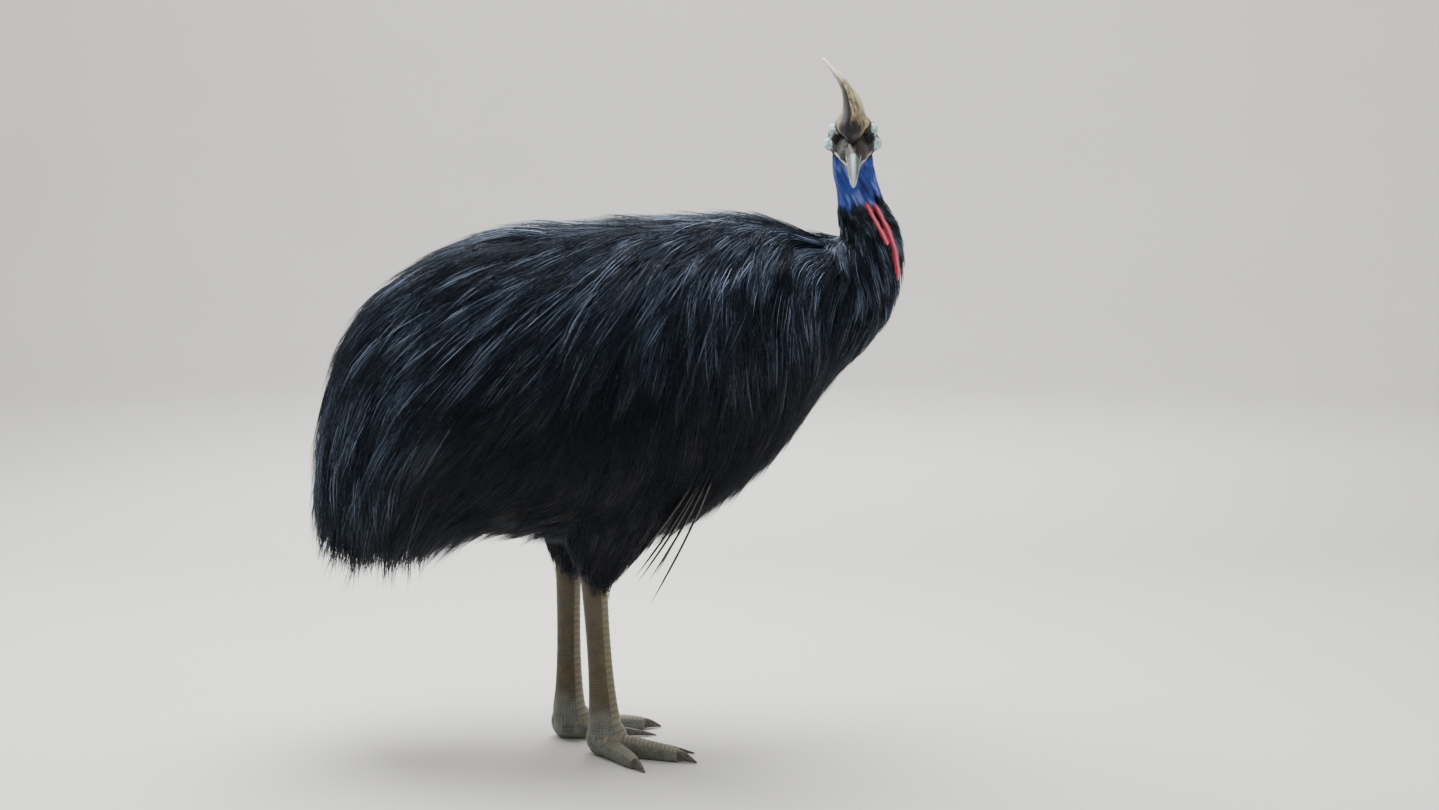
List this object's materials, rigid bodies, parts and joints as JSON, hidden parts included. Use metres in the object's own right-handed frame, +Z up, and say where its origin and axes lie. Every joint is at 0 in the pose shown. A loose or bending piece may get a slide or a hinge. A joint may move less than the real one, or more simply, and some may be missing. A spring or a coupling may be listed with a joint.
{
  "type": "southern cassowary",
  "caption": "Life-size still model of a southern cassowary standing with its head turned to its right: casque, bare neck with wattles, drooping hair-like coat, bare wing quills and scaled legs.",
  "frame": {"origin": "on the floor, under the middle of the bird's outline", "axes": "+Z up, +X the way the body faces, +Y the bird's left"},
  "size_m": [1.1208, 0.428, 1.314],
  "materials": {
    "feathered_flesh": "flesh under glossy black hair-like plumage",
    "tail_feather": "glossy black hair-like plumage and nothing under it",
    "blue_skin": "satin",
    "face_skin": "satin",
    "wattle_skin": "satin",
    "casque_horn": "horn, satin",
    "bill_horn": "horn, satin",
    "eye": "wet gloss",
    "leg_scale": "scaled",
    "toe_scale": "scaled",
    "claw_horn": "horn, satin",
    "quill": "bare feather shaft"
  },
  "bodies": {
    "root": {"bill_lower": "bill_horn", "bill_upper": "bill_horn", "casque": "casque_horn", "claw_inner_left": "claw_horn", "claw_inner_right": "claw_horn", "claw_middle_left": "claw_horn", "claw_middle_right": "claw_horn", "claw_outer_left": "claw_horn", "claw_outer_right": "claw_horn", "drumstick_left": "feathered_flesh", "drumstick_right": "feathered_flesh", "eye_left": "eye", "eye_right": "eye", "foot_left": "toe_scale", "foot_right": "toe_scale", "head": "face_skin", "neck_lower": "feathered_flesh", "neck_upper": "blue_skin", "tail": "tail_feather", "tarsus_left": "leg_scale", "tarsus_right": "leg_scale", "toe_inner_left": "toe_scale", "toe_inner_right": "toe_scale", "toe_middle_left": "toe_scale", "toe_middle_right": "toe_scale", "toe_outer_left": "toe_scale", "toe_outer_right": "toe_scale", "torso": "feathered_flesh", "wattle_left": "wattle_skin", "wattle_right": "wattle_skin", "wing_left": "quill", "wing_right": "quill"}
  },
  "joints": []
}
